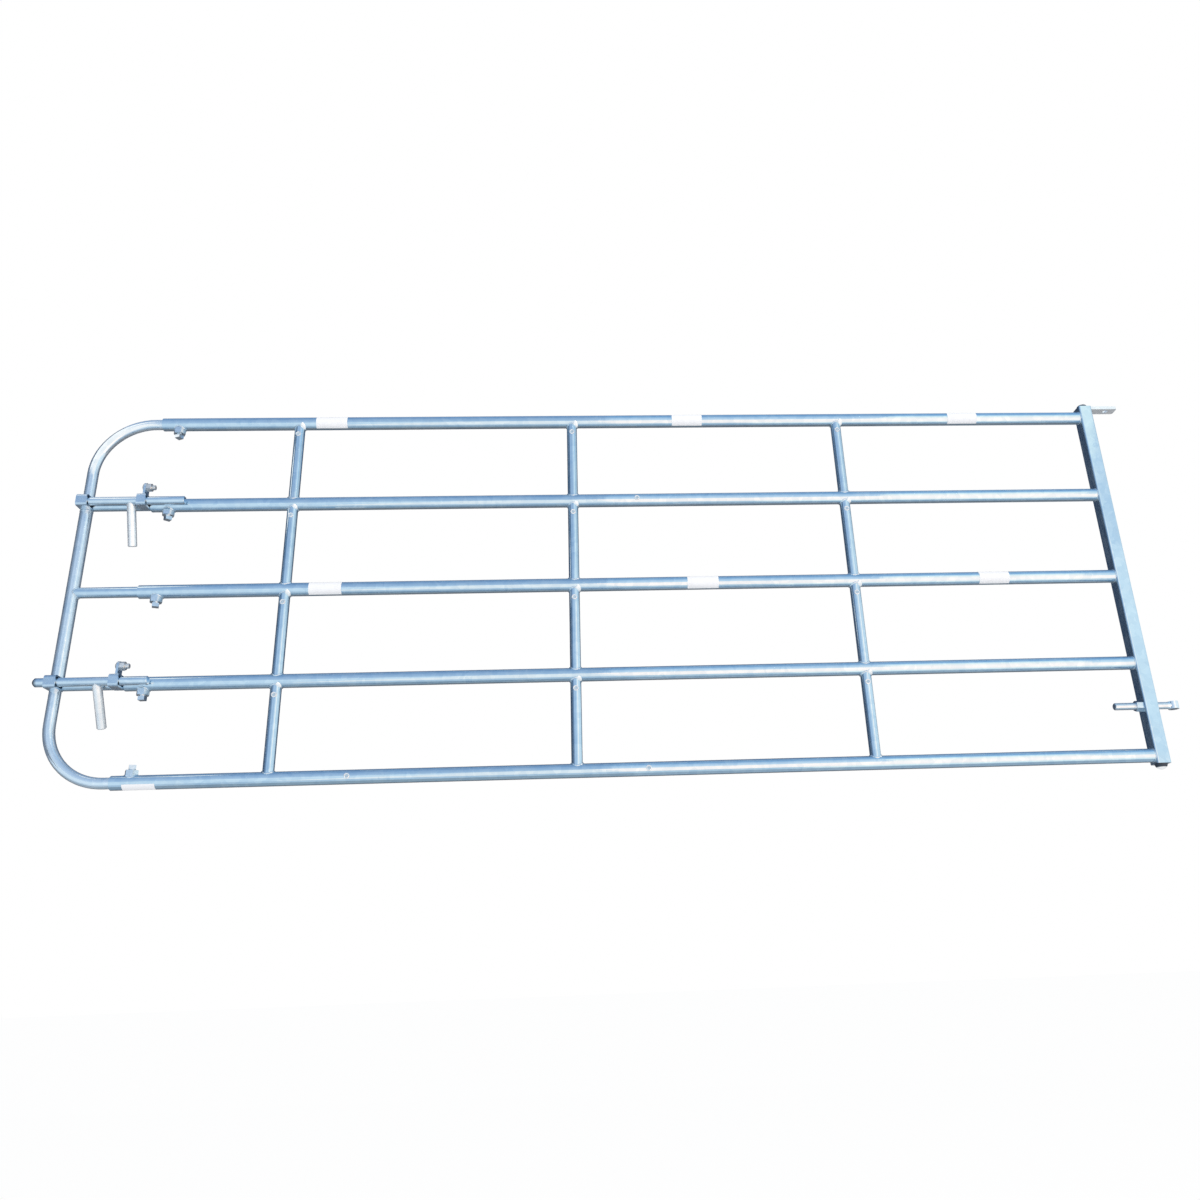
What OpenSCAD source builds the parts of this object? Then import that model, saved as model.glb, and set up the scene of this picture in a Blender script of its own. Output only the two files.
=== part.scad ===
// Extendable field gate. A leaf of five rails hangs on a square hinge post, and an extension
// slides in its rails and carries two hand latches. All sizes are in millimetres.
// The origin is on the hinge axis, at half the thickness of the upper hinge eye. +Z points up,
// +X points from the latch end towards the hinges, and the front of the gate faces -Y.

/* [Rails and struts] */
// Distance between the axes of neighbouring rails
rail_pitch = 265; // [220:1:320]
// Length of an outer rail, from its open end to the hinge post
rail_length = 2780; // [2300:10:3600]
// Outside diameter of an outer rail
rail_d = 38; // [34:0.5:40]
// Wall of an outer rail
rail_wall = 2; // [1.5:0.1:3]
// Outside diameter of a strut between two rails
strut_d = 30; // [20:0.5:34]
// Wall of a strut
strut_wall = 2; // [1.2:0.1:3]
// Distance between neighbouring lines of struts
strut_pitch = 807; // [600:1:880]
// Distance from the open ends of the rails to the first line of struts
strut_start = 397; // [300:1:560]

/* [Hinge post] */
// Width of the square post
post_w = 40; // [40:1:60]
// Wall of the post
post_wall = 3; // [2:0.1:4]
// Radius of the post's outer corners
post_corner_r = 5; // [2:0.5:8]
// Height of the post above the axis of the top rail
post_above = 34; // [24:1:80]
// Depth of the post below the axis of the bottom rail
post_below = 24; // [22:1:80]
// Height of the dome on a post plug
plug_dome_h = 15; // [4:0.5:15]
// Depth of a post plug inside the post
plug_depth = 18; // [10:1:24]

/* [Hinges] */
// Distance from the post's face to the hinge axis
eye_reach = 52; // [46:1:90]
// Bore of both hinge eyes
eye_bore_d = 16.5; // [12:0.5:20]
// Thickness of the upper hinge eye
eye_plate_t = 10; // [6:0.5:14]
// Width of the upper hinge eye
eye_plate_w = 30; // [26:1:40]
// Distance from the hinge axis to the end of the upper hinge eye
eye_plate_end = 30; // [18:1:40]
// Radius of the upper hinge eye's outer corners
eye_corner_r = 5; // [1:0.5:12]
// Diameter of the lower hinge's eye bolt
eye_bolt_d = 20; // [16:1:22]
// Length of the eye bolt behind the post
eye_bolt_tail = 78; // [50:1:120]
// Height of the eye bolt above the axis of the bottom rail
eye_bolt_height = 139; // [70:1:160]
// Outside diameter of the eye bolt's ring
eye_ring_d = 28; // [26:1:40]
// Height of the eye bolt's ring
eye_ring_h = 21; // [18.5:0.5:40]
// Width across the flats of an adjuster nut
adjuster_nut_af = 27; // [25:1:31]
// Thickness of an adjuster nut
adjuster_nut_t = 18; // [10:1:20]

/* [Clamps] */
// Diameter of a clamp screw
clamp_d = 16; // [10:1:18]
// Distance from the open end of a rail to its clamp
clamp_inset = 48; // [30:1:120]
// Width across the flats of a clamp nut
clamp_nut_af = 30; // [24:1:32]
// Height of a clamp nut below the rail
clamp_nut_h = 13; // [8:1:20]
// Thread that shows between a clamp nut and the screw's head
clamp_exposed = 2.5; // [1:0.5:10]
// Width of a clamp screw's square head
clamp_head_w = 17; // [12:1:22]
// Height of a clamp screw's square head
clamp_head_h = 11; // [8:1:16]

/* [Extension] */
// Clearance all round an inner tube in its rail
slide_gap = 2; // [1:0.1:3]
// Wall of an inner tube
inner_wall = 2; // [1.5:0.1:3]
// Length of an inner tube inside its rail when the gate is closed
inner_reach = 1325; // [1100:5:1800]
// Distance from the open ends of the rails to the upright when the gate is closed
closed_gap = 181; // [166:1:240]
// Radius of the bends, at the tube's axis
bend_r = 160; // [100:1:165]
// Wall of the upright sleeve
sleeve_wall = 1.7; // [1.2:0.1:3]
// Length of a leg inside the upright sleeve
sleeve_overlap = 60; // [30:1:100]
// Distance from an inner rail's side to the end of the sleeve
sleeve_drop = 3; // [2:0.5:20]

/* [Latches] */
// Diameter of a latch bar
bar_d = 24; // [18:1:28]
// Length of a latch bar
bar_length = 295; // [260:1:400]
// Taper at the tip of a latch bar
bar_taper = 5; // [2:0.5:7]
// Clearance between a latch bar and the outer rail behind it
bar_clearance = 2; // [1:0.5:6]
// How far the lower latch bar is shot
lower_throw = 33; // [0:1:80]
// Thickness of the folded straps that guide the latch bars
guide_t = 5; // [3:0.5:7]
// Inside radius of a strap's folds
guide_fold_r = 3; // [1:0.5:5]
// Width of an inner guide
inner_guide_w = 25; // [22:1:34]
// Width of an outer guide
outer_guide_w = 30; // [24:1:40]
// How far an outer guide stands past the axis of the upright
outer_guide_lead = 10; // [6:1:20]
// Diameter of a latch handle
handle_d = 24; // [16:1:24]
// Length of a latch handle from the axis of its bar
handle_length = 130; // [90:1:180]
// Distance from the upper latch handle to its inner guide, with the bar drawn back
handle_gap = 8; // [1:0.5:20]
// How much further from the tip the lower latch handle sits on its bar than the upper one
lower_handle_shift = 17; // [0:1:24]
// Angle at which the upper handle hangs back, until it rests on the inner rail
upper_handle_tilt = 22; // [0:1:45]
// Angle at which the lower handle hangs back, until it rests on the inner rail
lower_handle_tilt = 31; // [0:1:45]
// Thickness of the ear on an inner guide
ear_t = 6; // [4:0.5:8]
// Width of the ear on an inner guide
ear_w = 26; // [24:1:32]
// Distance from the left side of an inner guide to its ear
ear_inset = 14; // [8:1:16]
// Height of the keeper bolt above the latch bar's axis
ear_bolt_height = 41; // [36:1:60]
// Diameter of a keeper bolt
keeper_d = 14; // [10:1:16]
// Width across the flats of a keeper nut
keeper_nut_af = 22; // [19:1:24]
// Thickness of a keeper nut
keeper_nut_t = 13; // [8:1:16]
// Length of a keeper bolt that shows past its nut
keeper_tail = 10; // [4:1:30]

/* [Hidden] */
$fn = 96;
// Rails of the gate, counted from the top, and the rails in front of which the latches lie
rail_count = 5;
middle_rail = (rail_count + 1) / 2;
upper_latch_rail = middle_rail - 1;
lower_latch_rail = middle_rail + 1;
strut_lines = ["left", "middle", "right"];

// Clearances: coped joints, threads, loose holes, the turning handle, sliding bars and end stops
weld_gap = 0.05;
thread_gap = 0.06;
hole_gap = 0.5;
turn_gap = 0.3;
sleeve_gap = 0.3;
bar_gap = 0.4;
stop_gap = 0.5;
tip_gap = 1.3;
plug_gap = 0.2;
// How far a cutting solid runs past the face that it cuts
cut = 1;
// Chamfers of bar ends and nuts, and where the guide straps end in front of the gate's plane
end_chamfer = 2;
nut_chamfer = 1.5;
guide_back = 3;
// Turn of each clamp screw's head from its neighbour's
head_turn = 23;

// Sizes that follow from the ones above
inner_d = rail_d - 2 * rail_wall - 2 * slide_gap;
sleeve_d = inner_d + 2 * sleeve_gap + 2 * sleeve_wall;
post_bore_w = post_w - 2 * post_wall;
strap_half = bar_d / 2 + bar_gap + guide_t;
keeper_head_d = keeper_d * 1.9;
keeper_head_h = keeper_d * 0.5;

// Places along X
post_right_x = -eye_reach;
post_left_x = post_right_x - post_w;
open_x = post_left_x - rail_length;
upright_x = open_x - closed_gap;
clamp_x = open_x + clamp_inset;
inner_end_x = open_x + inner_reach;
outer_guide_x = upright_x - outer_guide_lead;
inner_guide_x = open_x - stop_gap - inner_guide_w;
ear_x = inner_guide_x + ear_inset;
handle_x = inner_guide_x - handle_gap - handle_d / 2;
function strut_x(line) = open_x + strut_start + line * strut_pitch;

// Places along Y and Z
bar_y = -(rail_d / 2 + bar_clearance + bar_d / 2);
rest_tilt = acos(min(1, ((inner_d + handle_d) / 2 + stop_gap) / -bar_y));
post_top_z = eye_plate_t / 2;
function rail_z(rail) = post_top_z - post_above - (rail - 1) * rail_pitch;
post_bottom_z = rail_z(rail_count) - post_below;
eye_bolt_z = rail_z(rail_count) + eye_bolt_height;
sleeve_top_z = rail_z(upper_latch_rail) - inner_d / 2 - sleeve_drop;
sleeve_bottom_z = rail_z(lower_latch_rail) + inner_d / 2 + sleeve_drop;
leg_end_z = sleeve_top_z - sleeve_overlap;

// Shapes that repeat

// Round bar along +X
module bar_x(d, length) {
    rotate([0, 90, 0])
        cylinder(d = d, h = length);
}

// Round tube along +X
module tube_x(d, wall, length) {
    difference() {
        bar_x(d, length);
        translate([-cut, 0, 0])
            bar_x(d - 2 * wall, length + 2 * cut);
    }
}

// Round tube along +Z
module tube_z(d, wall, length) {
    difference() {
        cylinder(d = d, h = length);
        translate([0, 0, -cut])
            cylinder(d = d - 2 * wall, h = length + 2 * cut);
    }
}

// Turned bar along +Z, with a chamfer at its start and at its end
module turned_bar(d, length, start_chamfer, end_chamfer) {
    rotate_extrude()
        polygon([
            [0, 0],
            [d / 2 - start_chamfer, 0],
            [d / 2, start_chamfer],
            [d / 2, length - end_chamfer],
            [d / 2 - end_chamfer, length],
            [0, length]
        ]);
}

// Square with round corners, centred
module rounded_square(w, r) {
    square([w, w - 2 * r], center = true);
    square([w - 2 * r, w], center = true);
    for (x = [-1, 1], y = [-1, 1])
        translate([x * (w / 2 - r), y * (w / 2 - r)])
            circle(r = r);
}

// Hexagon prism along +Z, with its corners chamfered at the far end
module hex_prism(af, h) {
    intersection() {
        cylinder(d = af / cos(30), h = h, $fn = 6);
        turned_bar(af / cos(30), h, 0, nut_chamfer);
    }
}

// Hexagon nut along +Z
module hex_nut(af, t, bore_d) {
    difference() {
        hex_prism(af, t);
        translate([0, 0, -cut])
            cylinder(d = bore_d, h = t + 2 * cut);
    }
}

// Puts a clamp's parts on a rail with local +Z pointing out of the rail:
// down on every rail but the last, whose clamp is on top
module at_clamp(rail) {
    translate([clamp_x, 0, rail_z(rail)])
        rotate([rail < rail_count ? 180 : 0, 0, 0])
            children();
}

// Outline of a folded strap's outer or inner side, open towards +X, with round front corners
module fold_outline(depth, half, r) {
    translate([r, -half])
        square([depth - r, 2 * half]);
    translate([0, -(half - r)])
        square([r, 2 * (half - r)]);
    for (side = [-1, 1])
        translate([r, side * (half - r)])
            circle(r = r);
}

// Strap folded round a latch bar and back to the tube that carries it, along +X
module strap(width) {
    front_y = bar_y - strap_half;
    depth = -guide_back - front_y;
    translate([0, front_y, 0])
        rotate([90, 0, 90])
            linear_extrude(width)
                difference() {
                    fold_outline(depth, strap_half, guide_fold_r + guide_t);
                    translate([guide_t, 0])
                        fold_outline(depth, strap_half - guide_t, guide_fold_r);
                }
}

// Hinge post and hinges

module hinge_post() {
    color("lightsteelblue")
        difference() {
            translate([post_right_x - post_w / 2, 0, post_bottom_z])
                linear_extrude(post_top_z - post_bottom_z)
                    difference() {
                        rounded_square(post_w, post_corner_r);
                        rounded_square(post_bore_w, max(post_corner_r - post_wall, 0.5));
                    }
            translate([post_left_x - cut, 0, eye_bolt_z])
                bar_x(eye_bolt_d + 2 * hole_gap, post_w + 2 * cut);
        }
}

// Plug that closes an end of the post, with its dome on local +Z
module post_plug() {
    plug_w = post_bore_w - 2 * plug_gap;
    corner_r = max(post_corner_r - post_wall, 0.5);
    dome_r = ((plug_w / 2) ^ 2 + plug_dome_h ^ 2) / (2 * plug_dome_h);
    translate([0, 0, -plug_depth])
        linear_extrude(plug_depth)
            rounded_square(plug_w, corner_r);
    intersection() {
        translate([0, 0, plug_dome_h - dome_r])
            sphere(r = dome_r);
        translate([0, 0, -plug_depth / 2])
            cylinder(d = plug_w, h = plug_depth / 2 + plug_dome_h + cut);
    }
}

module post_plugs() {
    color("gainsboro") {
        translate([post_right_x - post_w / 2, 0, post_top_z])
            post_plug();
        translate([post_right_x - post_w / 2, 0, post_bottom_z])
            rotate([180, 0, 0])
                post_plug();
    }
}

module upper_hinge_eye() {
    color("lightsteelblue")
        translate([0, 0, -eye_plate_t / 2])
            linear_extrude(eye_plate_t)
                difference() {
                    union() {
                        translate([post_right_x, -eye_plate_w / 2])
                            square([eye_reach + eye_plate_end - eye_corner_r, eye_plate_w]);
                        translate([0, -eye_plate_w / 2 + eye_corner_r])
                            square([eye_plate_end, eye_plate_w - 2 * eye_corner_r]);
                        for (side = [-1, 1])
                            translate([eye_plate_end - eye_corner_r, side * (eye_plate_w / 2 - eye_corner_r)])
                                circle(r = eye_corner_r);
                    }
                    circle(d = eye_bore_d);
                }
}

module lower_eye_bolt() {
    start_x = post_left_x - eye_bolt_tail;
    color("silver")
        translate([0, 0, eye_bolt_z])
            difference() {
                union() {
                    translate([start_x, 0, 0])
                        rotate([0, 90, 0])
                            turned_bar(eye_bolt_d, -start_x, end_chamfer, 0);
                    translate([0, 0, -eye_ring_h / 2])
                        cylinder(d = eye_ring_d, h = eye_ring_h);
                }
                translate([0, 0, -eye_ring_h / 2 - cut])
                    cylinder(d = eye_bore_d, h = eye_ring_h + 2 * cut);
            }
}

// One nut is welded inside the post, and one outside locks the eye bolt
module adjuster_nuts() {
    color("silver") {
        translate([post_right_x - post_wall, 0, eye_bolt_z])
            rotate([0, -90, 0])
                hex_nut(adjuster_nut_af, adjuster_nut_t, eye_bolt_d + 2 * thread_gap);
        translate([post_left_x, 0, eye_bolt_z])
            rotate([0, -90, 0])
                hex_nut(adjuster_nut_af, adjuster_nut_t, eye_bolt_d + 2 * thread_gap);
    }
}

// Rails, struts and clamps

module outer_rail(rail) {
    color("lightsteelblue")
        difference() {
            translate([open_x, 0, rail_z(rail)])
                tube_x(rail_d, rail_wall, rail_length);
            at_clamp(rail)
                cylinder(d = clamp_d + 2 * hole_gap, h = rail_d);
        }
}

// Strut between a rail and the next one down, coped round both
module strut(line, bay) {
    color("lightsteelblue")
        difference() {
            translate([strut_x(line), 0, rail_z(bay + 1)])
                tube_z(strut_d, strut_wall, rail_pitch);
            for (rail = [bay, bay + 1])
                translate([strut_x(line) - strut_d, 0, rail_z(rail)])
                    bar_x(rail_d + 2 * weld_gap, 2 * strut_d);
        }
}

// Nut coped round its rail and welded to it
module clamp_nuts() {
    color("silver")
        for (rail = [1:rail_count])
            at_clamp(rail)
                difference() {
                    hex_nut(clamp_nut_af, rail_d / 2 + clamp_nut_h, clamp_d + 2 * thread_gap);
                    translate([-clamp_nut_af, 0, 0])
                        bar_x(rail_d + 2 * weld_gap, 2 * clamp_nut_af);
                }
}

module clamp_screw(rail) {
    tip_z = inner_d / 2 + tip_gap;
    head_z = rail_d / 2 + clamp_nut_h + clamp_exposed;
    color("silver")
        at_clamp(rail) {
            translate([0, 0, tip_z])
                turned_bar(clamp_d, head_z - tip_z + clamp_head_h / 2, end_chamfer, 0);
            rotate([0, 0, head_turn * rail])
                translate([-clamp_head_w / 2, -clamp_head_w / 2, head_z])
                    cube([clamp_head_w, clamp_head_w, clamp_head_h]);
        }
}

// Extension

// Solid of a tube of diameter d along the top rail, round the bend and down the leg
module bent_run(d, overrun) {
    translate([upright_x + bend_r, 0, rail_z(1)])
        bar_x(d, inner_end_x - upright_x - bend_r + overrun);
    translate([upright_x + bend_r, 0, rail_z(1) - bend_r])
        rotate([90, 0, 0])
            rotate([0, 0, 90])
                rotate_extrude(angle = 90)
                    translate([bend_r, 0])
                        circle(d = d);
    translate([upright_x, 0, leg_end_z - overrun])
        cylinder(d = d, h = rail_z(1) - bend_r - leg_end_z + overrun);
}

module top_inner_tube() {
    color("lightsteelblue")
        difference() {
            bent_run(inner_d, 0);
            bent_run(inner_d - 2 * inner_wall, cut);
        }
}

// The bottom tube mirrors the top one about the middle rail
module bottom_inner_tube() {
    translate([0, 0, 2 * rail_z(middle_rail)])
        mirror([0, 0, 1])
            top_inner_tube();
}

module upright_sleeve() {
    color("lightsteelblue")
        translate([upright_x, 0, sleeve_bottom_z])
            tube_z(sleeve_d, sleeve_wall, sleeve_top_z - sleeve_bottom_z);
}

// Straight inner rail, coped round the sleeve in the middle and round a leg elsewhere
module inner_rail(rail) {
    carrier_d = rail == middle_rail ? sleeve_d : inner_d;
    color("lightsteelblue")
        difference() {
            translate([upright_x, 0, rail_z(rail)])
                tube_x(inner_d, inner_wall, inner_end_x - upright_x);
            translate([upright_x, 0, rail_z(rail) - inner_d])
                cylinder(d = carrier_d + 2 * weld_gap, h = 2 * inner_d);
        }
}

// Latches

// Folded strap on a leg of the extension, coped round the leg and the inner rail behind it
module outer_guide(rail) {
    color("lightsteelblue")
        difference() {
            translate([outer_guide_x, 0, rail_z(rail)])
                strap(outer_guide_w);
            translate([upright_x, 0, rail_z(rail) - 2 * strap_half])
                cylinder(d = inner_d + 2 * weld_gap, h = 4 * strap_half);
            translate([upright_x, 0, rail_z(rail)])
                bar_x(inner_d + 2 * weld_gap, 2 * outer_guide_w);
        }
}

// Plate that stands on an inner guide and takes the keeper bolt
module keeper_ear() {
    rotate([90, 0, 90])
        linear_extrude(ear_t)
            difference() {
                union() {
                    translate([-ear_w / 2, strap_half - guide_t / 2])
                        square([ear_w, ear_bolt_height - strap_half + guide_t / 2]);
                    translate([0, ear_bolt_height])
                        circle(d = ear_w);
                }
                translate([0, ear_bolt_height])
                    circle(d = keeper_d + 2 * hole_gap);
            }
}

// Folded strap on an inner rail, with the keeper's ear on its top
module inner_guide(rail) {
    color("lightsteelblue")
        difference() {
            union() {
                translate([inner_guide_x, 0, rail_z(rail)])
                    strap(inner_guide_w);
                translate([ear_x, bar_y, rail_z(rail)])
                    keeper_ear();
            }
            translate([inner_guide_x - cut, 0, rail_z(rail)])
                bar_x(inner_d + 2 * weld_gap, inner_guide_w + 2 * cut);
        }
}

// Cup-headed bolt through each ear, with its head towards the upright
module keeper_bolts() {
    head_r = ((keeper_head_d / 2) ^ 2 + keeper_head_h ^ 2) / (2 * keeper_head_h);
    shank_length = ear_t + keeper_nut_t + keeper_tail;
    color("silver")
        for (rail = [upper_latch_rail, lower_latch_rail])
            translate([ear_x, bar_y, rail_z(rail) + ear_bolt_height])
                rotate([0, 90, 0]) {
                    turned_bar(keeper_d, shank_length, 0, end_chamfer / 2);
                    intersection() {
                        translate([0, 0, head_r - keeper_head_h])
                            sphere(r = head_r);
                        translate([0, 0, -keeper_head_h - cut])
                            cylinder(d = keeper_head_d + cut, h = keeper_head_h + cut);
                    }
                }
}

module keeper_nuts() {
    color("silver")
        for (rail = [upper_latch_rail, lower_latch_rail])
            translate([ear_x + ear_t, bar_y, rail_z(rail) + ear_bolt_height])
                rotate([0, 90, 0])
                    hex_nut(keeper_nut_af, keeper_nut_t, keeper_d + 2 * thread_gap);
}

// Round latch bar, tapered at its tip and shot by the given throw
module latch_bar(rail, throw) {
    color("lightsteelblue")
        translate([outer_guide_x - throw, bar_y, rail_z(rail)])
            rotate([0, 90, 0])
                turned_bar(bar_d, bar_length, bar_taper, end_chamfer);
}

// Round handle, coped to its bar and hanging back from it
module latch_handle(rail, shift, tilt) {
    color("lightsteelblue")
        translate([handle_x + shift, bar_y, rail_z(rail)])
            rotate([min(tilt, rest_tilt), 0, 0])
                difference() {
                    translate([0, 0, -handle_length])
                        turned_bar(handle_d, handle_length, end_chamfer, 0);
                    translate([-handle_d, 0, 0])
                        bar_x(bar_d + 2 * turn_gap, 2 * handle_d);
                }
}

// Nodes

hinge_post();
post_plugs();
upper_hinge_eye();
lower_eye_bolt();
adjuster_nuts();
for (rail = [1:rail_count])
    outer_rail(rail);
for (line = [0:len(strut_lines) - 1], bay = [1:rail_count - 1])
    strut(line, bay);
clamp_nuts();
for (rail = [1:rail_count])
    clamp_screw(rail);
top_inner_tube();
bottom_inner_tube();
for (rail = [2:rail_count - 1])
    inner_rail(rail);
upright_sleeve();
outer_guide(upper_latch_rail);  // upper_outer_guide
outer_guide(lower_latch_rail);  // lower_outer_guide
inner_guide(upper_latch_rail);  // upper_inner_guide
inner_guide(lower_latch_rail);  // lower_inner_guide
keeper_bolts();
keeper_nuts();
latch_bar(upper_latch_rail, 0);  // upper_latch_bar
latch_bar(lower_latch_rail, lower_throw);  // lower_latch_bar
latch_handle(upper_latch_rail, 0, upper_handle_tilt);  // upper_latch_handle
latch_handle(lower_latch_rail, lower_handle_shift - lower_throw, lower_handle_tilt);  // lower_latch_handle
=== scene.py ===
# %% [markdown]
# Extendable field gate, dressed around its solid model.
# The solids already hold every tube, bar and nut at its true size, so this lesson adds what a
# galvanising bath and a welder leave behind: zinc that looks like zinc, lumpy weld beads, cut threads,
# paper-thin labels, and the light that shows them. All lengths are in metres, in the gate's own frame:
# the hinge axis is at the origin, the latch end lies towards -X and the front faces -Y.

# %% Load the frame
import math

import bpy
import numpy as np
from mathutils import Matrix, Vector


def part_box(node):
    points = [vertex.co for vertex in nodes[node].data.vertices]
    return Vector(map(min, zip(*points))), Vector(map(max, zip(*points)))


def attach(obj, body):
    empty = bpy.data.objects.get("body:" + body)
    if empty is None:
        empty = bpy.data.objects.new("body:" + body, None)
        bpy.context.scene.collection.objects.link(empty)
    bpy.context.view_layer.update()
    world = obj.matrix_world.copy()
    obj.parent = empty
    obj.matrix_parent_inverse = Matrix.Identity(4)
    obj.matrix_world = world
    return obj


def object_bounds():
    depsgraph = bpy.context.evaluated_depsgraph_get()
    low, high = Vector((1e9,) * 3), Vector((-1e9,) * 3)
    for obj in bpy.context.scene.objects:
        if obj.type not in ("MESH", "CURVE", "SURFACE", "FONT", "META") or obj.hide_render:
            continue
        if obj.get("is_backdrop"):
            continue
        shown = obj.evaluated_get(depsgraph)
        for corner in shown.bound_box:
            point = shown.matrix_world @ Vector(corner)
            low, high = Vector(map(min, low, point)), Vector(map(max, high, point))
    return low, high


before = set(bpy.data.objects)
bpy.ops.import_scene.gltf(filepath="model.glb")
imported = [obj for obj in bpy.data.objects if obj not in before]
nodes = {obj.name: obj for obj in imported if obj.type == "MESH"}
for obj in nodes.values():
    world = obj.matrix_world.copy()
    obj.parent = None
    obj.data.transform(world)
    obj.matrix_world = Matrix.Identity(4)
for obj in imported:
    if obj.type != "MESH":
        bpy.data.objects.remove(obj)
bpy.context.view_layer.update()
bpy.ops.object.select_all(action="DESELECT")

# %% [markdown]
# Places that the added pieces need are read from the solids and not typed again. A tube's middle and
# radius come from the box around its node, so a bead stays on its joint if a size changes.

# %% Places read from the solids
MM = 0.001


def middle(node):
    low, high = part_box(node)
    return (low + high) / 2


def radius(node, axis):
    low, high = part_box(node)
    return (high - low)[axis] / 2


RAILS = [1, 2, 3, 4, 5]
LINES = ["left", "middle", "right"]
rail_z = {k: middle(f"outer_rail_{k}").z for k in RAILS}
rail_r = radius("outer_rail_1", 1)
strut_r = radius("strut_left_1", 1)
inner_r = radius("inner_rail_3", 1)
sleeve_r = radius("upright_sleeve", 1)
bar_r = radius("upper_latch_bar", 2)
post_left_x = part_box("hinge_post")[0].x
post_right_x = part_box("hinge_post")[1].x
upright_x = middle("upright_sleeve").x
clamp_x = middle("clamp_nuts").x
bar_y = middle("upper_latch_bar").y
print("rails at z", [round(z, 3) for z in rail_z.values()], "upright at x", round(upright_x, 3))

# %% [markdown]
# Finishes are shader graphs, and graphs read best as formulas. One small class wraps a node's output
# socket: plus, minus and times add Math nodes, so a mask is written the way it would be on paper.
# Every other node goes through one method that takes its type, its settings and its inputs.

# %% Shader formulas


class Signal:
    """An output socket that can be used in a formula."""

    def __init__(self, finish, socket):
        self.finish, self.socket = finish, socket

    def maths(self, operation, *others):
        inputs = {0: self, **dict(enumerate(others, 1))}
        return self.finish.node("ShaderNodeMath", {"operation": operation}, inputs)

    def __add__(self, other):
        return self.maths("ADD", other)

    def __sub__(self, other):
        return self.maths("SUBTRACT", other)

    def __mul__(self, other):
        return self.maths("MULTIPLY", other)

    def __rsub__(self, other):
        return (self * -1.0) + other

    __radd__ = __add__

    def clipped(self, low, high):
        inputs = {"Value": self, "From Min": low, "From Max": high}
        return self.finish.node("ShaderNodeMapRange", {"clamp": True}, inputs, "Result")


class Finish:
    """A material under construction."""

    def __init__(self, name):
        self.material = bpy.data.materials.new(name)
        self.material.use_nodes = True
        self.tree = self.material.node_tree
        self.shader = self.tree.nodes["Principled BSDF"]
        self.place = self.node("ShaderNodeTexCoord", {}, {}, "Object")

    def node(self, kind, settings, inputs, output=0):
        made = self.tree.nodes.new(kind)
        for key, value in settings.items():
            if key == "stops":
                ramp = made.color_ramp
                while len(ramp.elements) < len(value):
                    ramp.elements.new(0.5)
                for element, (position, colour) in zip(ramp.elements, value):
                    element.position, element.color = position, (*colour, 1.0)
            else:
                setattr(made, key, value)
        for key, value in inputs.items():
            self.feed(made.inputs[key], value)
        return Signal(self, made.outputs[output])

    def feed(self, socket, value):
        if isinstance(value, Signal):
            self.tree.links.new(value.socket, socket)
        else:
            socket.default_value = value

    def set(self, **values):
        for key, value in values.items():
            self.feed(self.shader.inputs[key.replace("_", " ")], value)
        return self.material

    def noise(self, scale, detail=3.0, roughness=0.55, place=None):
        inputs = {"Vector": place or self.place, "Scale": scale, "Detail": detail, "Roughness": roughness}
        return self.node("ShaderNodeTexNoise", {}, inputs, "Fac")

    def mixed(self, factor, first, second):
        settings = {"data_type": "RGBA", "blend_type": "MIX"}
        return self.node("ShaderNodeMix", settings, {0: factor, 6: first, 7: second}, 2)

    def stretched(self, scale):
        return self.node("ShaderNodeMapping", {}, {"Vector": self.place, "Scale": scale})

    def vector(self, operation, inputs, output=0):
        return self.node("ShaderNodeVectorMath", {"operation": operation}, inputs, output)

    def side(self, axis, place=None):
        return self.node("ShaderNodeSeparateXYZ", {}, {0: place or self.place}, axis)

    def bump(self, height, strength, distance):
        return self.node("ShaderNodeBump", {}, {"Height": height, "Strength": strength, "Distance": distance})


# %% [markdown]
# Hot-dip zinc is not one grey. It freezes in crystals a few millimetres to a few centimetres across,
# each with its own tint and gloss, under a thin blue-grey bloom, and it runs a little before it sets.
# A Voronoi pattern gives the crystals, two noises give bloom and runs, and a fine noise gives the bump.

# %% Galvanised zinc
WHITE = (1.0, 1.0, 1.0, 1.0)
WANDER = (0.012, 0.012, 0.012)
RUN_STRETCH = (14.0, 50.0, 14.0)
# colour, fade and wander of the painted shade on the tips of the latch bars
TIP_SHADE = (0.05, 0.06, 0.08, 1)
TIP_SHADE_FADE = (0.008, 0.016)
TIP_SHADE_WANDER = 0.006
SKIN_DEPTH = 0.0012


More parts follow.
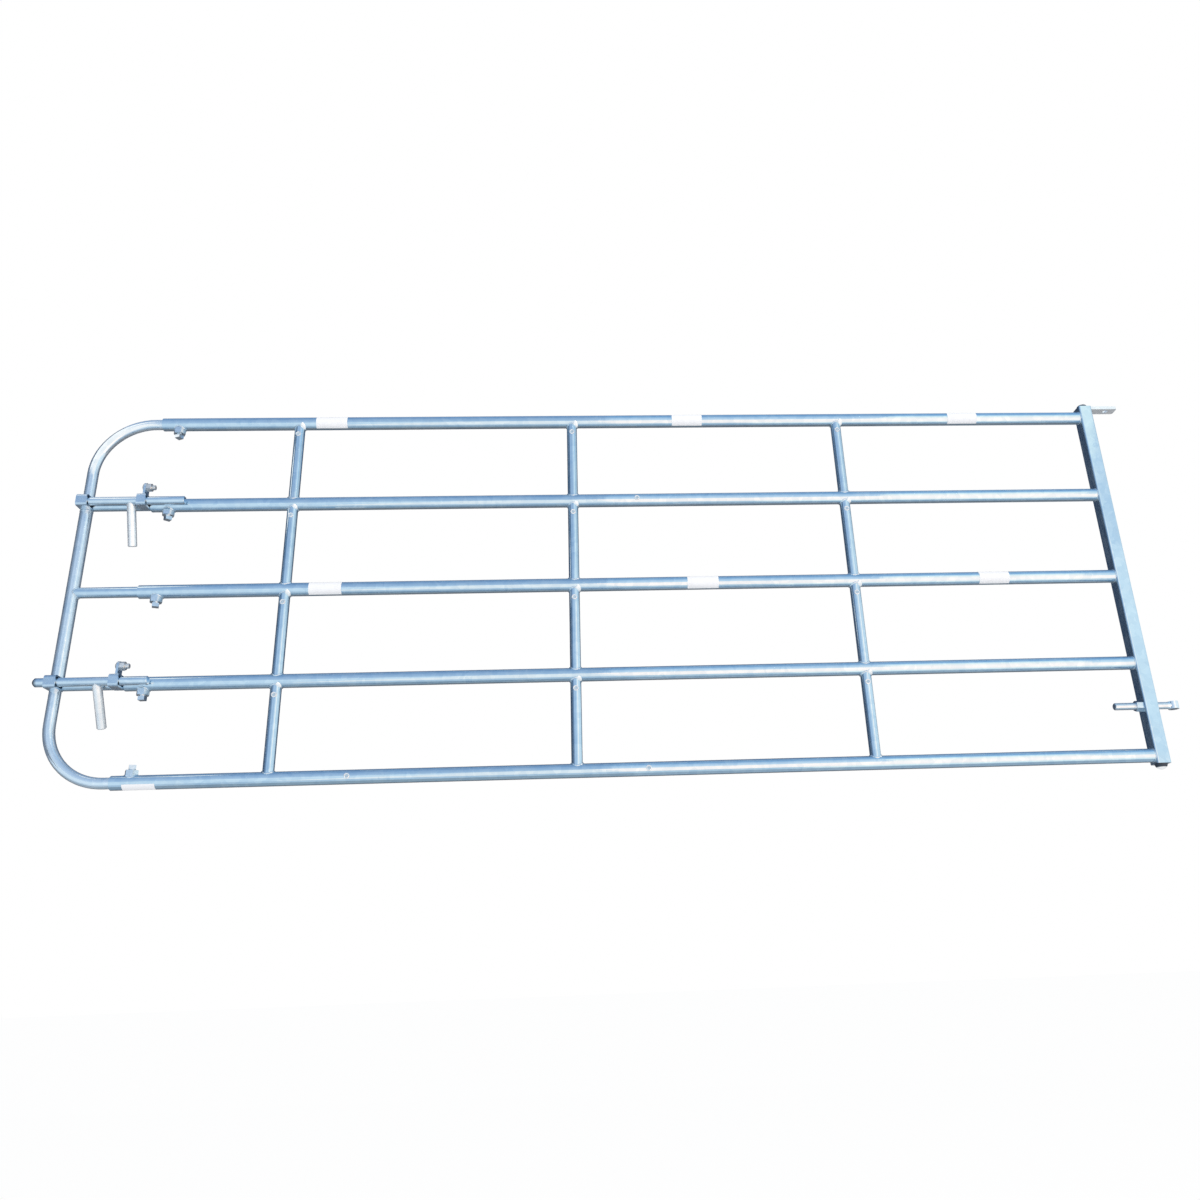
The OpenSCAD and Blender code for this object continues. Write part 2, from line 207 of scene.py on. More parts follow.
def galvanised(name, pale, deep, bloom, gloss, crystal, metal=0.97, skin=0.06, tip=None):
    """Zinc with crystals, bloom and runs. Left of tip, where it is given, the metal is painted dark as shade.
    """
    finish = Finish(name)
    warp = finish.noise(30.0, 2.0)
    wander = finish.vector("SCALE", {0: WANDER, "Scale": warp})
    spot = finish.vector("ADD", {0: finish.place, 1: wander})
    crystals = {"Vector": spot, "Scale": crystal}
    cells = finish.node("ShaderNodeTexVoronoi", {"feature": "F1"}, crystals, "Color")
    spangle = finish.node("ShaderNodeSeparateColor", {}, {"Color": cells}, "Red")
    cloud = finish.noise(6.0, 4.0).clipped(0.35, 0.68)
    runs = finish.noise(1.0, 3.0, 0.6, finish.stretched(RUN_STRETCH)).clipped(0.45, 0.78)
    fleck = finish.noise(240.0, 2.0).clipped(0.64, 0.76)
    tint = finish.mixed(spangle * 0.70 + cloud * 0.30, deep, pale)
    dull = finish.mixed(runs * 0.40, tint, bloom)
    colour = finish.mixed(fleck * 0.06, dull, WHITE)
    if tip is not None:
        along = finish.side("X") + warp * TIP_SHADE_WANDER
        tip_shade = 1.0 - along.clipped(tip + TIP_SHADE_FADE[0], tip + TIP_SHADE_FADE[1])
        # the last centimetre of each latch bar is painted near-black as shade
        colour = finish.mixed(tip_shade * 0.85, colour, TIP_SHADE)
    height = finish.noise(60.0, 3.0)
    return finish.set(
        Base_Color=colour,
        Roughness=gloss + spangle * 0.03 + runs * 0.05,
        Metallic=metal - runs * 0.07,
        Normal=finish.bump(height, skin, SKIN_DEPTH),
    )


# The blue in these zinc tints is partly zinc's own blue-grey and partly a painted reflection of blue sky.
tube_zinc = galvanised(
    "galvanised_tube",
    pale=(0.66, 0.79, 0.87, 1), deep=(0.52, 0.67, 0.79, 1), bloom=(0.58, 0.67, 0.73, 1),
    gloss=0.045, crystal=70.0,
)
slide_zinc = galvanised(
    "rubbed_tube",
    pale=(0.80, 0.87, 0.92, 1), deep=(0.66, 0.77, 0.85, 1), bloom=(0.68, 0.74, 0.78, 1),
    gloss=0.13, crystal=70.0, metal=0.86,
)
plate_zinc = galvanised(
    "galvanised_plate",
    pale=(0.64, 0.76, 0.86, 1), deep=(0.52, 0.65, 0.77, 1), bloom=(0.55, 0.63, 0.70, 1),
    gloss=0.24, crystal=55.0,
)
bead_zinc = galvanised(
    "bead_zinc",
    pale=(0.74, 0.83, 0.89, 1), deep=(0.60, 0.72, 0.81, 1), bloom=(0.66, 0.72, 0.76, 1),
    gloss=0.22, crystal=160.0, metal=0.88, skin=0.15,
)
# The near-white tint of the drops is a painted glint of sun on the welds.
drip_glint_zinc = galvanised(
    "drip_glint_zinc",
    pale=(0.95, 0.95, 0.94, 1), deep=(0.86, 0.88, 0.89, 1), bloom=(0.90, 0.89, 0.87, 1),
    gloss=0.36, crystal=160.0, metal=0.30, skin=0.2,
)
bolt_zinc = galvanised(
    "fastener_zinc",
    pale=(0.80, 0.87, 0.92, 1), deep=(0.60, 0.69, 0.76, 1), bloom=(0.58, 0.57, 0.55, 1),
    gloss=0.14, crystal=180.0,
)
# This paler zinc is partly wear and partly a painted highlight of sunlit glare.
worn_lit_zinc = galvanised(
    "worn_lit_zinc",
    pale=(0.93, 0.93, 0.92, 1), deep=(0.80, 0.83, 0.85, 1), bloom=(0.74, 0.73, 0.71, 1),
    gloss=0.24, crystal=90.0, metal=0.70,
)
keeper_zinc = galvanised(
    "keeper_zinc",
    pale=(0.90, 0.89, 0.87, 1), deep=(0.58, 0.57, 0.56, 1), bloom=(0.52, 0.48, 0.44, 1),
    gloss=0.20, crystal=180.0, metal=0.80,
)
bar_zinc = {
    node: galvanised(
        f"{node}_zinc",
        pale=(0.72, 0.82, 0.89, 1), deep=(0.58, 0.71, 0.81, 1), bloom=(0.62, 0.69, 0.74, 1),
        gloss=0.12, crystal=70.0, tip=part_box(node)[0].x,
    )
    for node in ("upper_latch_bar", "lower_latch_bar")
}
zincs = (tube_zinc, slide_zinc, plate_zinc, bead_zinc, drip_glint_zinc, bolt_zinc, worn_lit_zinc, keeper_zinc)
print("zinc finishes:", [zinc.name for zinc in zincs])

# %% [markdown]
# The lower hinge is a threaded rod. Its thread is too fine to model, so it is a sine of the distance along
# the rod, turned into a helix by the angle round it. It fades out where the eye begins.

# %% Threaded rod
PITCH = 2.5 * MM
THREAD_END = -18 * MM
THREAD_FADE = 2 * MM


def threaded_rod(axis_z):
    finish = Finish("threaded_rod")
    x, y, z = (finish.side(axis) for axis in "XYZ")
    angle = y.maths("ARCTAN2", z - axis_z)
    wave = (x * (2 * math.pi / PITCH) + angle).maths("SINE")
    rod = 1.0 - x.clipped(THREAD_END - THREAD_FADE, THREAD_END)
    groove_shade = (0.5 - wave * 0.5) * rod
    grime = finish.noise(90.0, 3.0).clipped(0.45, 0.75)
    bright = finish.mixed(grime * 0.4, (0.82, 0.88, 0.92, 1), (0.60, 0.66, 0.70, 1))
    # the grooves of the thread are painted darker as shade
    colour = finish.mixed(groove_shade * 0.30, bright, (0.40, 0.44, 0.47, 1))
    return finish.set(
        Base_Color=colour,
        Roughness=0.15 + grime * 0.10,
        Metallic=0.96,
        Normal=finish.bump(wave * rod, 0.35, 0.0005),
    )


rod_zinc = threaded_rod(middle("lower_eye_bolt").z)
print("thread pitch, mm:", PITCH / MM)

# %% [markdown]
# The plugs in the post's ends are dark moulded plastic, with a painted highlight as a pale spot in the
# middle. The labels are
# white vinyl: slightly glossy, blank, and a little soiled where water has run.

# %% Plastic and vinyl
HIGHLIGHT_RISE = (0.0055, 0.0070)
HIGHLIGHT_EDGE = (0.0120, 0.0135)
GRAIN_DEPTH = 0.0004
SOIL_STRETCH = (70.0, 70.0, 18.0)


def moulded_plastic(axis, shoulder):
    """Dark plugs round an upright axis, each with a painted highlight as a pale spot in the middle of its
    dome.
    """
    finish = Finish("plug_plastic")
    dirt = finish.noise(60.0, 4.0).clipped(0.48, 0.72)
    grain = finish.noise(900.0, 2.0)
    off = finish.vector("SUBTRACT", {0: finish.place, 1: axis})
    flat = finish.vector("MULTIPLY", {0: off, 1: (1, 1, 0)})
    far = finish.vector("LENGTH", {0: flat}, "Value")
    tall = finish.side("Z", off).maths("ABSOLUTE")
    highlight_rise_mask = tall.clipped(shoulder + HIGHLIGHT_RISE[0], shoulder + HIGHLIGHT_RISE[1])
    highlight_spot = highlight_rise_mask * (1.0 - far.clipped(*HIGHLIGHT_EDGE))
    soiled_highlight = finish.mixed(dirt * 0.30, (0.88, 0.88, 0.87, 1), (0.62, 0.61, 0.58, 1))
    # the pale spot in the middle of the dome is a painted highlight; the rest keeps the plug's dark plastic
    # colour
    colour = finish.mixed(highlight_spot, (0.020, 0.032, 0.050, 1), soiled_highlight)
    skin = finish.bump(grain, 0.12, GRAIN_DEPTH)
    return finish.set(Base_Color=colour, Roughness=0.36 + dirt * 0.12, Normal=skin)


def blank_vinyl():
    finish = Finish("label_vinyl")
    soil = finish.noise(1.0, 4.0, 0.6, finish.stretched(SOIL_STRETCH)).clipped(0.50, 0.80)
    crease = finish.noise(140.0, 2.0)
    colour = finish.mixed(soil * 0.25, (0.80, 0.795, 0.805, 1), (0.62, 0.62, 0.64, 1))
    skin = finish.bump(crease, 0.10, GRAIN_DEPTH)
    return finish.set(Base_Color=colour, Roughness=0.42 + soil * 0.2, Normal=skin)


plug_plastic = moulded_plastic(middle("hinge_post"), radius("hinge_post", 2))
label_vinyl = blank_vinyl()
print("plastic finishes:", plug_plastic.name, label_vinyl.name)

# %% [markdown]
# Each solid takes the finish of what it is made of. Tubes and the post share one zinc, which is rubbed
# brighter where hands and rails slide along it. Folded straps have a duller one, handles and the hinge eye a
# pale one that is partly wear and partly a painted highlight, and nuts and screws the bright plating of
# bought fasteners.

# %% Finishes on the solids
GUIDES = {"upper_outer_guide", "lower_outer_guide", "upper_inner_guide", "lower_inner_guide"}
finish_of = {
    "post_plugs": plug_plastic,
    "lower_eye_bolt": rod_zinc,
    "upper_hinge_eye": worn_lit_zinc,
    "upper_latch_handle": worn_lit_zinc,
    "lower_latch_handle": worn_lit_zinc,
    "keeper_bolts": keeper_zinc,
    "keeper_nuts": keeper_zinc,
    "adjuster_nuts": bolt_zinc,
    "clamp_nuts": bolt_zinc,
    "top_inner_tube": slide_zinc,
    "bottom_inner_tube": slide_zinc,
    "upright_sleeve": slide_zinc,
    **{f"clamp_screw_{k}": bolt_zinc for k in RAILS},
    **{guide: plate_zinc for guide in GUIDES},
    **bar_zinc,
}


def dress(piece, material):
    piece.data.materials.clear()
    piece.data.materials.append(material)


for name, solid in nodes.items():
    dress(solid, finish_of.get(name, tube_zinc))
print("dressed solids:", len(nodes))

# %% [markdown]
# A weld bead is a rope of molten metal laid round a joint. It starts here as a torus of the joint's
# radius. Each vertex then moves twice: in or out for the ripples that the welder leaves, and up or down
# so that the ring sits on a round tube as a saddle. A superellipse makes the same ring fit a flat bar.

# %% Weld beads
RING_STEPS = 56
ROPE_STEPS = 8
START_ROPE = 0.25
RIPPLE_COUNT = 17
SWELL_COUNT = 5
SWELL_SHARE = 0.6
SEAT_LIMIT = 0.25
SMOOTH_ANGLE = math.radians(40)


def bead(ring, rope, seat=None, flat=2.0, ripple=0.16, seed=0.0):
    """Torus round local Z. ring is (half x, half y), rope its thickness, seat the radius of a tube on X."""
    bpy.ops.object.select_all(action="DESELECT")
    bpy.ops.mesh.primitive_torus_add(
        major_radius=1.0, minor_radius=START_ROPE, major_segments=RING_STEPS, minor_segments=ROPE_STEPS
    )
    piece = bpy.context.active_object
    points = np.zeros(len(piece.data.vertices) * 3)
    piece.data.vertices.foreach_get("co", points)
    points = points.reshape(-1, 3)
    turn = np.arctan2(points[:, 1], points[:, 0])
    out = (np.hypot(points[:, 0], points[:, 1]) - 1.0) / START_ROPE
    rise = points[:, 2] / START_ROPE
    cx, cy = np.cos(turn), np.sin(turn)
    swell = SWELL_SHARE * ripple * np.sin(turn * SWELL_COUNT + 2.3 * seed + 1)
    lumps = 1 + ripple * np.sin(turn * RIPPLE_COUNT + seed) + swell
    x = ring[0] * np.sign(cx) * np.abs(cx) ** (2 / flat)
    y = ring[1] * np.sign(cy) * np.abs(cy) ** (2 / flat)
    z = np.zeros_like(x)
    if seat:
        z = np.sqrt(np.maximum(seat**2 - y**2, (SEAT_LIMIT * seat) ** 2))
    shaped = np.stack([x + out * rope * lumps * cx, y + out * rope * lumps * cy, z + rise * rope * lumps], 1)
    piece.data.vertices.foreach_set("co", shaped.ravel())
    piece.data.update()
    return piece


def settle(piece, turn, place):
    """Puts a piece in the gate's frame and leaves its object at the origin."""
    piece.matrix_world = Matrix.Translation(place) @ turn
    bpy.ops.object.select_all(action="DESELECT")
    piece.select_set(True)
    bpy.context.view_layer.objects.active = piece
    bpy.ops.object.transform_apply(location=True, rotation=True, scale=True)
    return piece


def ring_bead(ring, rope, turn, place, seat=None, seed=0.0, ripple=0.16):
    """Round bead that is already in its place."""
    return settle(bead((ring, ring), rope, seat, ripple=ripple, seed=seed), turn, place)


def gathered(name, pieces, material, body):
    """Joins pieces into one, smooths it and lets it ride on a body."""
    bpy.ops.object.select_all(action="DESELECT")
    for piece in pieces:
        piece.select_set(True)
    bpy.context.view_layer.objects.active = pieces[0]
    if len(pieces) > 1:
        bpy.ops.object.join()
    whole = bpy.context.active_object
    whole.name = whole.data.name = name
    bpy.ops.object.shade_smooth_by_angle(angle=SMOOTH_ANGLE)
    dress(whole, material)
    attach(whole, body)
    print(name, "faces:", len(whole.data.polygons))


UP = Matrix.Identity(4)
DOWN = Matrix.Rotation(math.pi, 4, "X")
RIGHT = Matrix.Rotation(math.pi / 2, 4, "Y")
LEFT = Matrix.Rotation(-math.pi / 2, 4, "Y")

# %% [markdown]
# Three lines of struts stand between the rails, and both ends of each are welded all round. These beads
# are the bright spots that catch the eye along the rails.

# %% Strut welds
beads = []
ring, seat = strut_r + 0.5 * MM, rail_r + 0.6 * MM
for line in LINES:
    for bay in RAILS[:-1]:
        x = middle(f"strut_{line}_{bay}").x
        for turn, k in ((DOWN, bay), (UP, bay + 1)):
            place, seed = (x, 0, rail_z[k]), 3.1 * len(beads)
            beads.append(ring_bead(ring, 2.2 * MM, turn, place, seat=seat, seed=seed))
gathered("strut_welds", beads, bead_zinc, "leaf")

# %% [markdown]
# Molten zinc runs to the corner between strut and rail and freezes there as a flat drop, whose near-white
# tint is a painted glint of sun. A drop starts as a small sphere, is made wide at its foot and narrow at its
# top, and is then pressed flat against the rail. The big ones hang under a rail, the small ones lie on top.

# %% Zinc drops
DROP_TAPER = 0.30
DROP_SEAT = rail_r + 0.4 * MM
DROP_SWAY = 1.4 * MM
drops = []


def drop(x, k, below, size, lift):
    """Flat drop on rail k at x; lift is its angle round the rail, down from the front."""
    bpy.ops.object.select_all(action="DESELECT")
    bpy.ops.mesh.primitive_ico_sphere_add(subdivisions=3, radius=1.0)
    piece = bpy.context.active_object
    for vertex in piece.data.vertices:
        vertex.co.x *= 1.0 - DROP_TAPER * vertex.co.z
    piece.scale = size
    bpy.ops.object.transform_apply(location=False, rotation=False, scale=True)
    angle = math.radians(lift if below else -lift)
    place = (x, -DROP_SEAT * math.cos(angle), rail_z[k] - DROP_SEAT * math.sin(angle))
    drops.append(settle(piece, Matrix.Rotation(angle, 4, "X"), place))


for line in LINES:
    for bay in RAILS[:-1]:
        x = middle(f"strut_{line}_{bay}").x
        sway = DROP_SWAY * math.sin(4.7 * len(drops) + 1)
        hanging, lying = (7.6 * MM, 3.0 * MM, 11.0 * MM + sway), (4.4 * MM, 2.0 * MM, 5.0 * MM)
        drop(x + 10.0 * MM + sway, bay, below=True, size=hanging, lift=48)
        drop(x + 9.0 * MM - sway, bay + 1, below=False, size=lying, lift=58)
gathered("zinc_drops", drops, drip_glint_zinc, "leaf")

# %% [markdown]
# The rails butt against the post, so those beads are flat rings. The upper hinge eye is a flat bar, so
# its bead is a squared ring, and the clamp nuts sit on the rails like short struts.

# %% Post, hinge and clamp welds
beads = []
ring = min(rail_r, radius("hinge_post", 1) - 1.5 * MM) + 0.2 * MM
for k in RAILS:
    beads.append(ring_bead(ring, 1.4 * MM, LEFT, (post_left_x, 0, rail_z[k]), seed=k))
gathered("post_welds", beads, bead_zinc, "leaf")

low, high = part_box("upper_hinge_eye")
eye_ring = ((high.z - low.z) / 2 + 0.4 * MM, (high.y - low.y) / 2 - 1.5 * MM)
eye_bead = bead(eye_ring, 1.9 * MM, flat=5.0, seed=2.0)
settle(eye_bead, RIGHT, (post_right_x, 0, middle("upper_hinge_eye").z))
gathered("hinge_eye_weld", [eye_bead], bead_zinc, "leaf")

beads = []
ring, seat = radius("clamp_nuts", 1) + 0.8 * MM, rail_r + 0.2 * MM
for k in RAILS:
    turn = UP if k == RAILS[-1] else DOWN
    beads.append(ring_bead(ring, 1.9 * MM, turn, (clamp_x, 0, rail_z[k]), seat=seat, seed=5.0 * k))
gathered("clamp_nut_welds", beads, bead_zinc, "leaf")

# %% [markdown]
# On the extension, the inner rails are coped and welded to the legs and to the sleeve, the sleeve is
# welded to the legs at its ends, and the folded straps are welded where they meet the tubes.

# %% Extension welds
LATCH_RAILS = {"upper": 2, "lower": 4}
beads = []
for k, carrier in ((2, inner_r), (3, sleeve_r), (4, inner_r)):
    place = (upright_x, 0, rail_z[k])
    beads.append(ring_bead(inner_r + 0.3 * MM, 2.2 * MM, RIGHT, place, seat=carrier + 0.4 * MM, seed=k))
sleeve_low, sleeve_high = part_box("upright_sleeve")
for z in (sleeve_low.z, sleeve_high.z):
    beads.append(ring_bead(inner_r + 1.1 * MM, 1.7 * MM, UP, (upright_x, 0, z), seed=9 * z))
for node in sorted(GUIDES):
    low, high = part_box(node)
    which, where = node.split("_")[:2]
    centre = rail_z[LATCH_RAILS[which]]
    strap_half = centre - low.z
    shift, inset = (5 * MM, 7 * MM) if where == "outer" else (0, 1.5 * MM)
    half = (high.x - low.x) / 2 - inset
    for side in (-1, 1):
        place = ((low.x + high.x) / 2 + shift, high.y, centre + side * (strap_half - 1.6 * MM))
        beads.append(settle(bead((half, 1.0 * MM), 1.5 * MM, flat=4.0, seed=place[0]), UP, place))
gathered("extension_welds", beads, bead_zinc, "extension")

# %% [markdown]
# Each ear is welded to the top of its guide, and each handle to its bar. The handle's bead follows the
# bar's round side, so it can turn with the handle.

# %% Ear and handle welds
EAR_T = 6 * MM
beads = []
for which, k in LATCH_RAILS.items():
    centre = rail_z[k]
    top = centre + (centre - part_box(f"{which}_inner_guide")[0].z)
    ear_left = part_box("keeper_nuts")[0].x - EAR_T
    place = (ear_left + EAR_T / 2, bar_y, top + 0.2 * MM)
    beads.append(settle(bead((3.2 * MM, 13 * MM), 1.3 * MM, flat=6.0, seed=centre), UP, place))
gathered("ear_welds", beads, bead_zinc, "extension")

for which, k in LATCH_RAILS.items():
    low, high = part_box(f"{which}_latch_handle")
    handle_r = (high.x - low.x) / 2
    reach = (high.y - bar_y) - handle_r
    tilt = math.atan2(reach, rail_z[k] - low.z)
    turn = Matrix.Rotation(tilt, 4, "X") @ DOWN
    place = ((low.x + high.x) / 2, bar_y, rail_z[k])
    weld = ring_bead(handle_r - 0.9 * MM, 1.2 * MM, turn, place, seat=bar_r + 0.5 * MM, seed=k)
    gathered(f"{which}_handle_weld", [weld], bead_zinc, f"{which}_latch_handle")

# %% [markdown]
# Six blank labels wrap round the front of the first and third rail, and a worn one is left on the open
# end of the last. Each starts as a flat grid, is rolled round its rail, and Solidify gives it a thickness.

# %% Labels
LABEL_ARC = (math.radians(-72), math.radians(92))
WORN_ARC = (math.radians(-84), math.radians(-22))
LABEL_SEAT = rail_r + 0.25 * MM
LABEL_THICKNESS = 0.35 * MM


def label(rail, start, end, arc=LABEL_ARC):
    bpy.ops.object.select_all(action="DESELECT")
    bpy.ops.mesh.primitive_grid_add(x_subdivisions=6, y_subdivisions=28, size=2.0)
    piece = bpy.context.active_object
    for vertex in piece.data.vertices:
        along, round_ = vertex.co.x / 2 + 0.5, vertex.co.y / 2 + 0.5
        angle = arc[0] + (arc[1] - arc[0]) * round_
        y, z = -LABEL_SEAT * math.cos(angle), rail_z[rail] + LABEL_SEAT * math.sin(angle)
        vertex.co = (start + (end - start) * along, y, z)
    sheet = piece.modifiers.new("sheet", "SOLIDIFY")
    sheet.thickness, sheet.offset = LABEL_THICKNESS, 1.0
    bpy.ops.object.modifier_apply(modifier=sheet.name)
    return piece


LABELS = [
    (1, -2.425, -2.334), (1, -1.365, -1.274), (1, -0.513, -0.422),
    (3, -2.407, -2.317), (3, -1.346, -1.257), (3, -0.497, -0.409),
]
labels = [label(*row) for row in LABELS]
labels.append(label(5, -2.839, -2.756, WORN_ARC))
gathered("blank_labels", labels, label_vinyl, "leaf")

# %% [markdown]
# Zinc has to run out of every tube, so each strut has a small vent near its top, and three rails have one
# on the front. The rim of a vent is a small ring of zinc that froze round it, and its floor is a dark disc of
# painted shade, sunk in the middle as the point of a drill leaves it.

# %% Vents
VENT_DISH = 0.45 * MM
VENT_R = 5.0 * MM
VENT_SINK = 0.2 * MM
VENT_DROP = 41 * MM
RAIL_VENTS = ((2, -1.4805), (5, -1.4782), (5, -2.268))
rims, holes = [], []


def vent(place, seed):
    face = Matrix.Rotation(math.pi / 2, 4, "X")
    rims.append(ring_bead(6.0 * MM, 1.9 * MM, face, place, seed=seed, ripple=0.10))
    bpy.ops.object.select_all(action="DESELECT")
    bpy.ops.mesh.primitive_cylinder_add(vertices=20, radius=VENT_R, depth=1.6 * MM, end_fill_type="TRIFAN")
    hole = bpy.context.active_object
    for vertex in hole.data.vertices:
        if vertex.co.z > 0 and vertex.co.xy.length < 0.1 * MM:
            vertex.co.z -= VENT_DISH
    holes.append(settle(hole, face, place))


for line in LINES:
    for bay in RAILS[:-1]:
        low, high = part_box(f"strut_{line}_{bay}")
        vent(((low.x + high.x) / 2, low.y + VENT_SINK, rail_z[bay] - VENT_DROP), 2.0 * bay)
for rail, x in RAIL_VENTS:
    vent((x, -rail_r + VENT_SINK, rail_z[rail]), x)
gathered("vent_rims", rims, worn_lit_zinc, "leaf")
# The dark floor of each vent is painted shade in place of the hole's inside.
vent_hole_shade = Finish("vent_floor")
shade_mottle = vent_hole_shade.noise(220.0, 3.0).clipped(0.35, 0.70)
painted_hole_shade = vent_hole_shade.mixed(shade_mottle, (0.30, 0.40, 0.49, 1), (0.43, 0.52, 0.59, 1))
vent_hole_shade.set(Base_Color=painted_hole_shade, Roughness=0.6)
gathered("vent_floors", holes, vent_hole_shade.material, "leaf")

# %% [markdown]
# Light and camera come last. Bare metal shows what stands around it more than the light that falls on it,
# so the gate stands among glowing cards that only reflections see. The floor is pale and lies well below.

# %% Floor
FLOOR_Z = -2.35
FLOOR_GLOW = 0.93
SEES_WHITE = ("Camera", "Glossy", "Transmission")


def card(name, size, place, aim, colour):
    """Glowing plane that faces aim, and that only reflections see."""
    bpy.ops.object.select_all(action="DESELECT")
    bpy.ops.mesh.primitive_plane_add(size=1.0)
    piece = bpy.context.active_object
    piece.name = name
    piece.scale = (*size, 1.0)
    piece.location = place
    piece.rotation_euler = (Vector(aim) - Vector(place)).to_track_quat("Z", "Y").to_euler()
    finish = Finish(name + "_paint")
    finish.set(Base_Color=(0, 0, 0, 1), Roughness=1.0)
    finish.set(Emission_Color=(*colour, 1), Emission_Strength=1.0)
    finish.material.cycles.emission_sampling = "NONE"
    dress(piece, finish.material)
    piece.visible_camera = False
    piece.visible_shadow = False
    piece.visible_diffuse = False
    piece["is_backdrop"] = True


def pale_floor():
    bpy.ops.object.select_all(action="DESELECT")
    bpy.ops.mesh.primitive_plane_add(size=80.0, location=(-1.5, 0, FLOOR_Z))
    floor = bpy.context.active_object
    floor.name = "floor"
    finish = Finish("floor_paint")
    rays = [finish.node("ShaderNodeLightPath", {}, {}, f"Is {kind} Ray") for kind in SEES_WHITE]
    finish.set(Base_Color=(0.95, 0.95, 0.95, 1), Roughness=0.9)
    glow = finish.node("ShaderNodeEmission", {}, {"Color": WHITE, "Strength": 1.0})
    seen = sum(rays).clipped(0.0, 1.0) * FLOOR_GLOW
    plain = Signal(finish, finish.shader.outputs[0])
    both = finish.node("ShaderNodeMixShader", {}, {0: seen, 1: plain, 2: glow})
    finish.tree.links.new(both.socket, finish.tree.nodes["Material Output"].inputs["Surface"])
    dress(floor, finish.material)
    floor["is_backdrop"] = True


pale_floor()
print("floor at z", FLOOR_Z)

# %% [markdown]
# The cards form a tent: rows of sky from behind the gate, over its top and down to the front, rows of
# ground below, and a horizon far in front. Each row has one colour for each column along the gate.

# %% Cards
COLUMNS = [(-11.0, -5.5), (-5.5, -3.0), (-3.0, -1.45), (-1.45, 0.5), (0.5, 1.98), (1.98, 3.2), (3.2, 8.0)]
SKY = [
    ("back_low", -35, 3, [(0.10, 0.12, 0.15), (0.14, 0.15, 0.17), (0.12, 0.12, 0.13), (0.16, 0.16, 0.17),
                          (0.24, 0.25, 0.27), (0.24, 0.25, 0.27), (0.42, 0.44, 0.46)]),
    ("back_high", 3, 46, [(0.03, 0.05, 0.09), (0.06, 0.10, 0.16), (0.03, 0.05, 0.09), (0.05, 0.08, 0.13),
                          (0.12, 0.18, 0.26), (0.12, 0.18, 0.26), (0.46, 0.55, 0.62)]),
    ("back_top", 46, 72, [(0.05, 0.09, 0.15), (0.16, 0.26, 0.42), (0.16, 0.26, 0.42), (0.16, 0.26, 0.42),
                          (0.20, 0.32, 0.50), (0.20, 0.32, 0.50), (0.50, 0.60, 0.68)]),
    ("zenith", 72, 118, [(0.07, 0.12, 0.20), (0.24, 0.38, 0.60), (0.24, 0.39, 0.62), (0.25, 0.44, 0.69),
                         (0.26, 0.47, 0.73), (0.26, 0.47, 0.73), (0.60, 0.72, 0.80)]),
    ("front_high", 118, 136, [(0.10, 0.17, 0.28), (0.36, 0.52, 0.74), (0.36, 0.52, 0.74), (0.42, 0.63, 0.86),
                              (0.46, 0.70, 0.94), (0.46, 0.70, 0.94), (0.62, 0.76, 0.88)]),
    ("front_mid", 136, 156, [(0.17, 0.28, 0.44), (0.42, 0.56, 0.77), (0.41, 0.56, 0.76), (0.63, 0.77, 0.94),
                             (1.02, 1.12, 1.10), (0.74, 0.88, 1.00), (0.78, 0.90, 0.98)]),
    ("front_low", 156, 178, [(0.22, 0.33, 0.50), (0.52, 0.67, 0.86), (0.50, 0.65, 0.84), (0.80, 0.92, 1.03),
                             (1.44, 1.26, 1.12), (0.90, 1.02, 1.08), (0.84, 0.95, 1.02)]),
]
GROUND = [
    ("far", -8.0, -1.3, [(0.74, 0.85, 0.96), (0.80, 0.91, 1.00), (1.14, 1.08, 1.04), (1.56, 1.25, 1.10),
                         (1.60, 1.29, 1.13), (1.60, 1.29, 1.13), (1.60, 1.29, 1.13)]),
    ("near", -1.3, -0.4, [(0.54, 0.66, 0.78), (0.54, 0.66, 0.78), (0.60, 0.72, 0.83), (0.66, 0.78, 0.86),
                          (0.70, 0.80, 0.88), (0.70, 0.80, 0.88), (0.70, 0.80, 0.88)]),
    ("under", -0.4, 0.9, [(0.30, 0.37, 0.44), (0.30, 0.37, 0.44), (0.34, 0.42, 0.49), (0.40, 0.49, 0.58),
                          (0.43, 0.53, 0.62), (0.43, 0.53, 0.62), (0.43, 0.53, 0.62)]),
    ("behind", 0.9, 5.0, [(0.20, 0.21, 0.23)] * 7),
]
HORIZON = [(0.78, 0.90, 1.00), (0.86, 0.96, 1.04), (1.10, 1.07, 1.05), (1.56, 1.25, 1.10),
           (1.60, 1.29, 1.13), (1.60, 1.29, 1.13), (1.60, 1.29, 1.13)]
HUB = Vector((-1.5, 0.0, -0.56))
REACH = 4.2
GROUND_Z = FLOOR_Z + 0.05


def on_tent(x, degrees):
    angle = math.radians(degrees)
    return Vector((x, HUB.y + REACH * math.cos(angle), HUB.z + REACH * math.sin(angle)))


